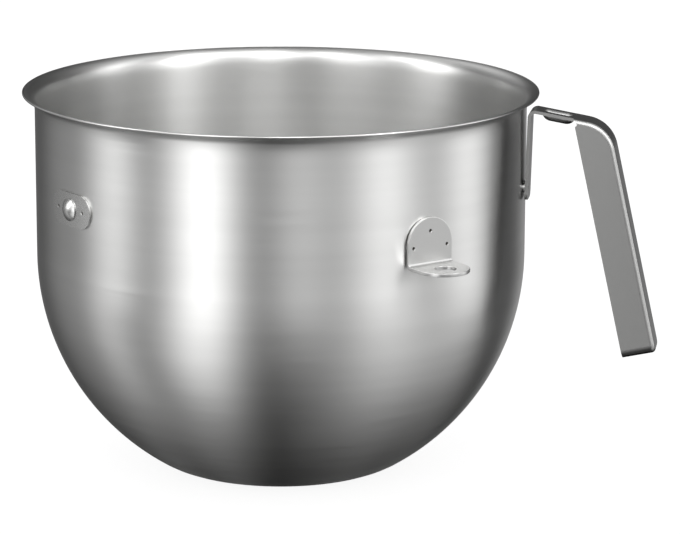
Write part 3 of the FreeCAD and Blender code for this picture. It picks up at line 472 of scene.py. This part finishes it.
class BuildBowl(bpy.types.Operator):
    """Spin the bowl's section about its axis"""

    bl_idname = "mixer_bowl.build_bowl"
    bl_label = "Bowl"

    def execute(self, context):
        size = context.scene.bowl_shape
        finish = context.scene.steel_finish
        rim, height = -BOWL_LOW[0], BOWL_HIGH[2]
        wall, foot, gauge = size.wall_radius, size.wall_foot, size.sheet
        corner, lip = size.base_corner, size.lip_radius
        flare, lean = size.flare_radius, size.flare_angle
        # the base corner lies inside the round bottom, and the two arcs meet at this angle
        corner_x = math.sqrt((wall - corner) ** 2 - (foot - corner) ** 2)
        climb = math.pi / 2 + math.atan2(corner - foot, corner_x)
        slope = math.atan2(size.punt_rise, size.punt_slope)
        cut = size.punt_bend * math.tan(slope / 2)
        steps = [
            (size.punt_radius - cut, 0),
            (size.punt_bend, -slope),
            (math.hypot(size.punt_rise, size.punt_slope) - 2 * cut, 0),
            (size.punt_bend, slope),
            (corner_x - size.punt_radius - size.punt_slope - cut, 0),
            (corner, climb),
            (wall, math.pi / 2 - climb),
            (height - gauge - lip - (flare - lip) * math.sin(lean) - foot, 0),
            (flare, -lean),
            (lip, lean - math.pi / 2),
            (rim - gauge / 2 - wall - flare + (flare - lip) * math.cos(lean), 0),
        ]
        x, z, heading = walk((0, size.punt_rise), 0, steps)
        # the inside is the outside moved square to its heading by the sheet's thickness
        inner_x = x - gauge * np.sin(heading)
        inner_z = z + gauge * np.cos(heading)
        nose = np.radians(np.arange(-75, 76, 15))
        nose_x = rim - gauge / 2 + gauge / 2 * np.cos(nose)
        nose_z = height - gauge / 2 + gauge / 2 * np.sin(nose)
        profile_x = np.concatenate([x, nose_x, inner_x[::-1]])
        profile_z = np.concatenate([z, nose_z, inner_z[::-1]])
        run = np.concatenate([[0], np.cumsum(np.hypot(np.diff(profile_x), np.diff(profile_z)))])
        bowl = spin_profile("spun_bowl", profile_x, profile_z, run, size.around)
        bowl.data.materials.append(spun_stainless(finish.spun, finish.rings))
        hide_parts("bowl")
        return {"FINISHED"}


class BuildHandle(bpy.types.Operator):
    """Make the pressed handle"""

    bl_idname = "mixer_bowl.build_handle"
    bl_label = "Handle"

    def execute(self, context):
        handle = smooth_copy("handle", "pressed_handle")
        handle.data.materials.append(satin_stainless(
            "satin_pressed_stainless", context.scene.steel_finish.grip, grain=0.8, rough=0.30))
        return {"FINISHED"}


class BuildBrackets(bpy.types.Operator):
    """Make both lift brackets"""

    bl_idname = "mixer_bowl.build_brackets"
    bl_label = "Brackets"

    def execute(self, context):
        finish = context.scene.steel_finish
        # the brackets' welds get painted shade in their dimples
        steel = satin_stainless(
            "tumbled_plate_stainless", finish.satin, grain=0.6, rough=0.33,
            welds=weld_places(BRACKET_SIDES, BRACKET_WELDS), weld_shade_colour=finish.painted_weld_shade)
        for side in ("left", "right"):
            bracket = smooth_copy(
                f"{side}_bracket", f"{side}_lift_bracket", finish.plate_rounding)
            bracket.data.materials.append(steel)
        return {"FINISHED"}


class BuildLatch(bpy.types.Operator):
    """Make the latch plate and its button"""

    bl_idname = "mixer_bowl.build_latch"
    bl_label = "Latch"

    def execute(self, context):
        finish = context.scene.steel_finish
        # the latch's welds get painted shade in their dimples
        steel = satin_stainless(
            "satin_latch_stainless", finish.satin, grain=0.6, rough=0.28,
            welds=weld_places(LATCH_SIDES, LATCH_WELDS), weld_shade_colour=finish.painted_weld_shade)
        for node, name in (("latch_plate", "curved_latch_plate"), ("latch_button", "latch_stud")):
            piece = smooth_copy(node, name)
            piece.data.materials.append(steel)
        return {"FINISHED"}


# Studio: soft panels round the bowl. Each has the azimuth of its middle and its half width in degrees,
# the sine of its middle's elevation and its half height in that sine, and its brightness.
PANELS = [
    (-174, 9, -0.47, 0.46, 0.56),
    (-125, 16, -0.58, 0.24, 1.35),
    (-69, 9, 0.10, 0.35, 0.81),
    (-18, 30, -0.47, 0.37, 0.87),
    (23, 9, -0.12, 0.20, 1.19),
    (162, 18, -0.11, 0.64, 0.33),
    (88, 17, -0.24, 0.16, 0.45),
    (-168, 10, 0.68, 0.20, 0.80),
    (160, 9, 0.83, 0.20, 0.70),
    (124, 9, 0.67, 0.39, 0.70),
    (-27, 5, 0.66, 0.25, 8.00),
    (-76, 5, 0.70, 0.25, 4.40),
    (-157, 6, 0.68, 0.25, 3.80),
    (-31, 14, 0.24, 0.24, 3.56),
    (11, 9, 0.30, 0.40, 2.11),
    (-161, 9, 0.23, 0.25, 4.44),
    (22, 30, 1.02, 0.50, 0.95),
    (-113, 7, 0.70, 0.25, 5.20),
    (-50, 12, 0.82, 0.25, 2.40),
    (-80, 16, 0.59, 0.31, 2.50),
    (-133, 9, 0.54, 0.36, 1.56),
    (-115, 11, -0.02, 0.31, 2.65),
    (138, 9, 0.60, 0.20, 0.70),
]


def studio_world(scene):
    """Soft panels that the steel reflects, and an even pale light for the floor and the background.

    A panel's brightness falls off as exp((cos(angle from its middle) - 1) / width squared - lift squared).
    The angle is taken level, and the lift is the distance from its middle height over its half height.
    """
    world = bpy.data.worlds.new("studio")
    world.use_nodes = True
    scene.world = world
    tree = world.node_tree
    tree.nodes.clear()
    place = add(tree, "ShaderNodeTexCoord")
    axes = add(tree, "ShaderNodeSeparateXYZ", {"Vector": place.outputs["Generated"]})
    level = add(tree, "ShaderNodeVectorMath", {
        0: place.outputs["Generated"], 1: (1, 1, 0)}, operation="MULTIPLY")
    compass = add(tree, "ShaderNodeVectorMath", {0: level.outputs["Vector"]}, operation="NORMALIZE")
    # a little light from all over the room above the floor
    total = add(tree, "ShaderNodeMapRange", {
        "Value": axes.outputs["Z"], "From Min": -HORIZON, "From Max": HORIZON,
        "To Min": 0.0, "To Max": ROOM_LIGHT}).outputs["Result"]
    for azimuth, width, height, reach, bright in PANELS:
        turned = math.radians(azimuth)
        middle = (math.cos(turned), math.sin(turned), 0)
        sharp = 1 / math.radians(width) ** 2
        facing = add(tree, "ShaderNodeVectorMath", {
            0: compass.outputs["Vector"], 1: middle}, operation="DOT_PRODUCT").outputs["Value"]
        fall = add(tree, "ShaderNodeMath", {
            0: facing, 1: sharp, 2: -sharp}, operation="MULTIPLY_ADD").outputs["Value"]
        lift = add(tree, "ShaderNodeMath", {
            0: axes.outputs["Z"], 1: 1 / reach, 2: -height / reach},
            operation="MULTIPLY_ADD").outputs["Value"]
        squared = add(tree, "ShaderNodeMath", {
            0: lift, 1: lift}, operation="MULTIPLY").outputs["Value"]
        depth = add(tree, "ShaderNodeMath", {
            0: fall, 1: squared}, operation="SUBTRACT").outputs["Value"]
        panel = add(tree, "ShaderNodeMath", {0: depth}, operation="EXPONENT").outputs["Value"]
        total = add(tree, "ShaderNodeMath", {
            0: panel, 1: bright, 2: total}, operation="MULTIPLY_ADD").outputs["Value"]
    studio = add(tree, "ShaderNodeBackground", {"Color": total})
    pale = add(tree, "ShaderNodeBackground", {"Color": (1, 1, 1, 1), "Strength": 1.0})
    ray = add(tree, "ShaderNodeLightPath")
    mixed = add(tree, "ShaderNodeMixShader", {
        "Fac": ray.outputs["Is Glossy Ray"],
        1: pale.outputs["Background"], 2: studio.outputs["Background"]})
    add(tree, "ShaderNodeOutputWorld", {"Surface": mixed.outputs["Shader"]})


class BuildStudio(bpy.types.Operator):
    """Lay the floor, set the light and place the camera"""

    bl_idname = "mixer_bowl.build_studio"
    bl_label = "Studio"

    def execute(self, context):
        scene = context.scene
        view = scene.studio_view
        corners = np.array([[-1, -1, 0], [1, -1, 0], [1, 1, 0], [-1, 1, 0]]) * FLOOR_REACH
        mesh = bpy.data.meshes.new("floor")
        mesh.from_pydata(corners.tolist(), [], [(0, 1, 2, 3)])
        floor = bpy.data.objects.new("floor", mesh)
        scene.collection.objects.link(floor)
        finish = scene.steel_finish
        floor.data.materials.append(pale_floor(finish.floor, finish.floor_glow))
        floor.visible_glossy = False
        studio_world(scene)
        camera = bpy.data.objects.new("camera", bpy.data.cameras.new("camera"))
        camera.data.lens = view.lens
        camera.data.sensor_width = view.sensor
        camera.data.clip_end = view.clip_end
        camera.location = Vector(view.place)
        camera.rotation_euler = (view.tilt, view.roll, view.azimuth)
        scene.collection.objects.link(camera)
        scene.camera = camera
        scene.view_settings.view_transform = "Standard"
        return {"FINISHED"}


class MixerBowlPanel(bpy.types.Panel):
    """The bowl's pieces and their sizes"""

    bl_idname = "VIEW3D_PT_mixer_bowl"
    bl_label = "Mixer bowl"
    bl_space_type = "VIEW_3D"
    bl_region_type = "UI"
    bl_category = "Mixer bowl"

    def draw(self, context):
        for settings in (context.scene.bowl_shape, context.scene.steel_finish, context.scene.studio_view):
            box = self.layout.box()
            for name in settings.__annotations__:
                box.prop(settings, name)
        for operator in OPERATORS:
            self.layout.operator(operator.bl_idname)


SETTINGS = {"bowl_shape": BowlShape, "steel_finish": SteelFinish, "studio_view": StudioView}
OPERATORS = (BuildBowl, BuildHandle, BuildBrackets, BuildLatch, BuildStudio)


def register():
    for name, settings in SETTINGS.items():
        bpy.utils.register_class(settings)
        setattr(bpy.types.Scene, name, bpy.props.PointerProperty(type=settings))
    for item in (*OPERATORS, MixerBowlPanel):
        bpy.utils.register_class(item)


def unregister():
    for item in reversed((*OPERATORS, MixerBowlPanel)):
        bpy.utils.unregister_class(item)
    for name, settings in SETTINGS.items():
        delattr(bpy.types.Scene, name)
        bpy.utils.unregister_class(settings)


def main():
    register()
    bpy.ops.mixer_bowl.build_bowl()
    bpy.ops.mixer_bowl.build_handle()
    bpy.ops.mixer_bowl.build_brackets()
    bpy.ops.mixer_bowl.build_latch()
    bpy.ops.mixer_bowl.build_studio()


if __name__ == "__main__":
    main()
